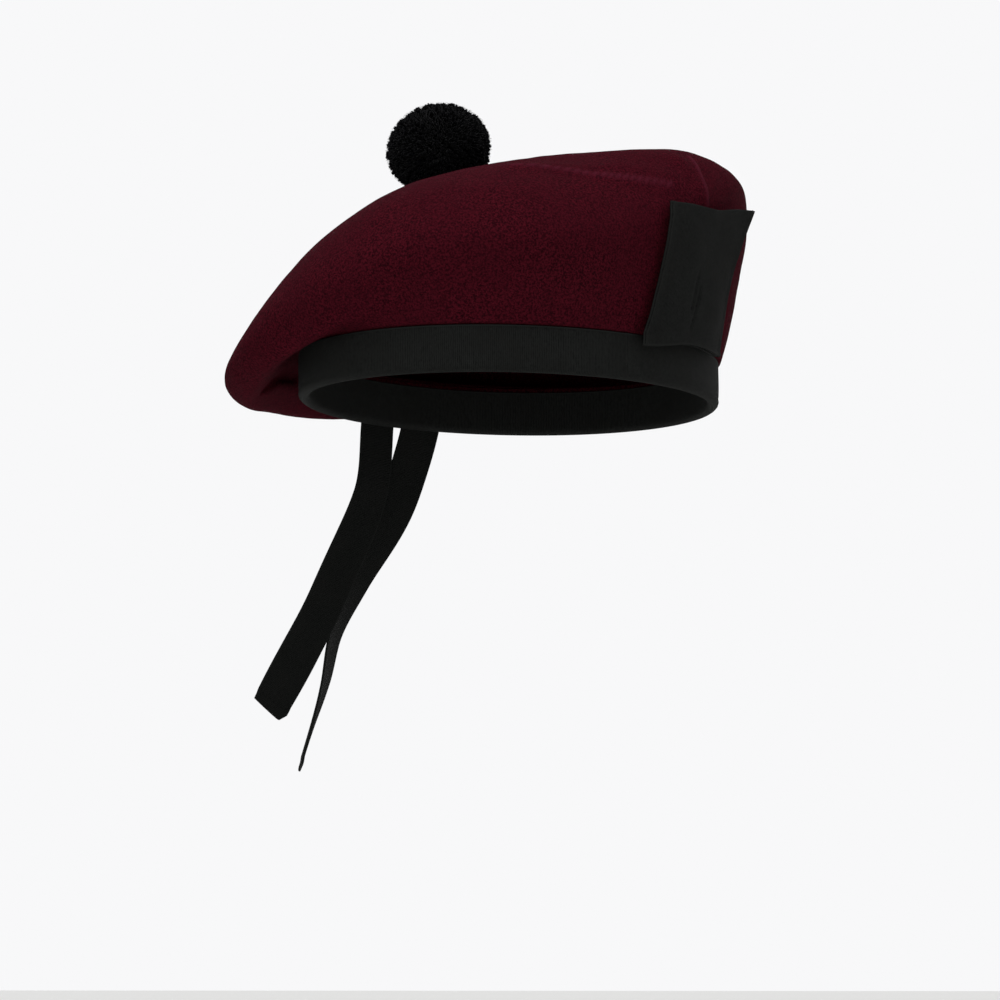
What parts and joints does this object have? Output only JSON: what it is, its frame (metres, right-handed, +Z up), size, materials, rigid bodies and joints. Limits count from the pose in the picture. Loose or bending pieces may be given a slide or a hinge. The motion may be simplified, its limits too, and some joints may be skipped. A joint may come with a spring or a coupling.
{
  "type": "tam o shanter",
  "caption": "Felted wool tam o' shanter with a ribbon-bound rim, wool pompom, folded ribbon cockade and two ribbon tails",
  "frame": {"origin": "centre of the head opening, in the plane of the rim's lower edge, where the hat sits on a head", "axes": "+Z up through the crown, -Y towards the hat's front, +X towards the wearer's left, where the cockade is"},
  "size_m": [0.234, 0.2413, 0.283],
  "materials": {
    "felt": "felted maroon wool",
    "ribbon": "black ribbed ribbon",
    "yarn": "cut black wool yarn"
  },
  "bodies": {
    "root": {"crown": "felt", "headband": "ribbon", "cockade": "ribbon", "tail_front": "ribbon", "tail_back": "ribbon", "pompom": "yarn"}
  },
  "joints": []
}
